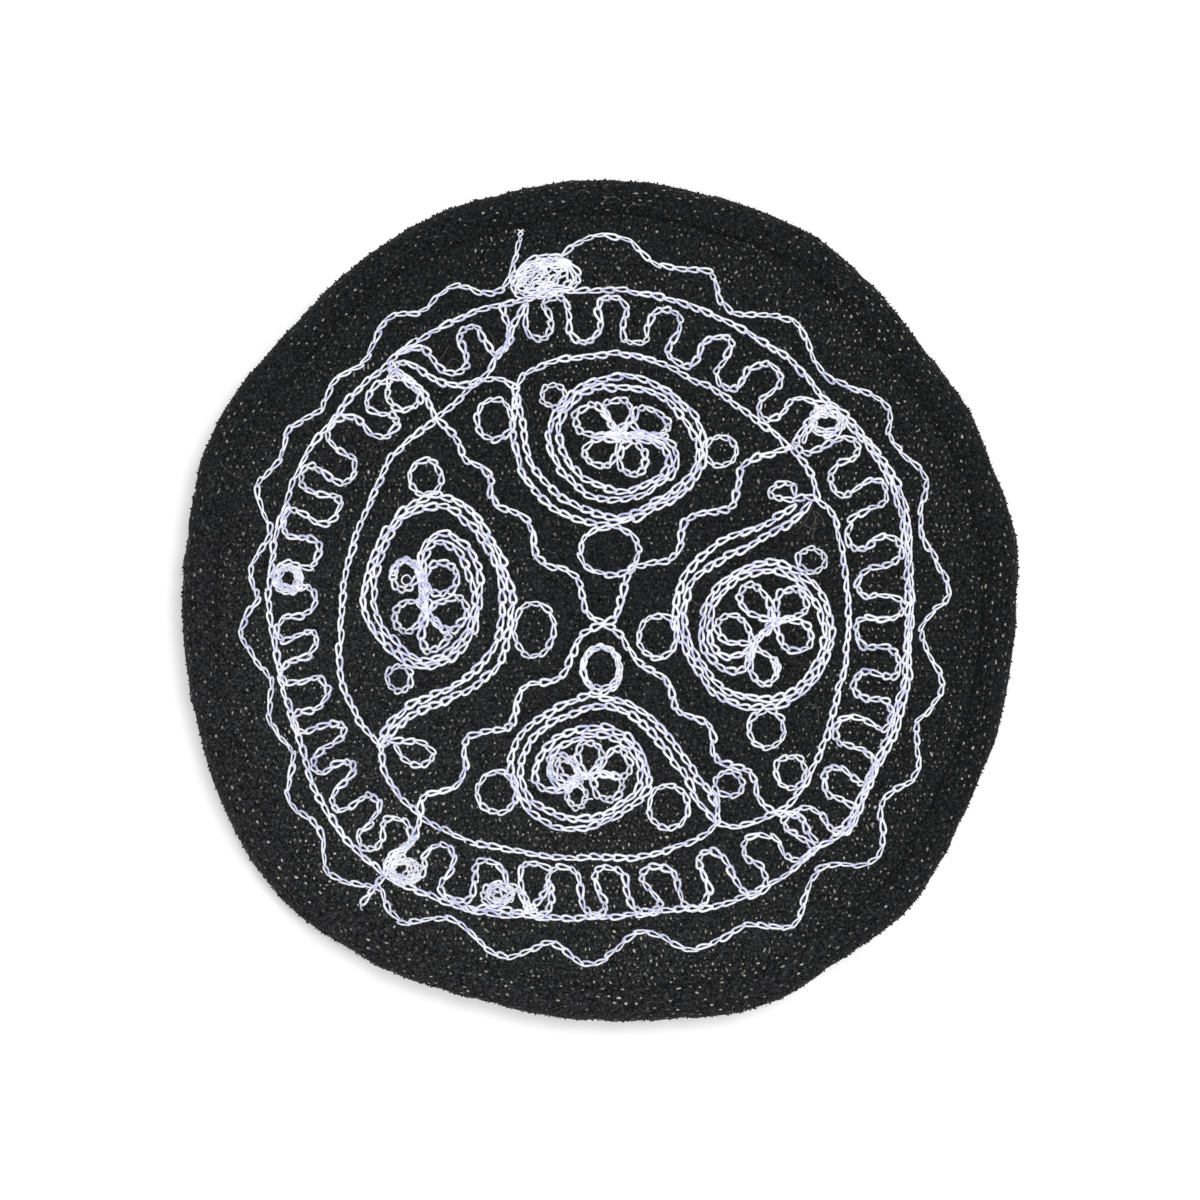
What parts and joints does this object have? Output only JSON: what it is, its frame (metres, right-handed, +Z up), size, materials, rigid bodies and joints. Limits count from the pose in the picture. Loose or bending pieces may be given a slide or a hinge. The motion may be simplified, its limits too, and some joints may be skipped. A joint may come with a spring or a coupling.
{
  "type": "pakol",
  "caption": "Soft round black wool cap with a flat embroidered crown and a rolled brim, open underneath for the head, resting on its brim.",
  "frame": {"origin": "middle of the flat ring that the brim rests on, under the middle of the crown", "axes": "+Z up through the middle of the crown; +Y is the side that the picture shows at its top, +X the side it shows at its right"},
  "size_m": [0.2734, 0.2756, 0.072],
  "materials": {
    "black_wool": "soft knitted and felted wool, matt, with pale flecks",
    "embroidery_thread": "white twisted thread with a slight lilac cast and a silky sheen"
  },
  "bodies": {
    "root": {"crown_top": "black_wool", "crown_side": "black_wool", "rolled_brim": "black_wool"}
  },
  "joints": []
}
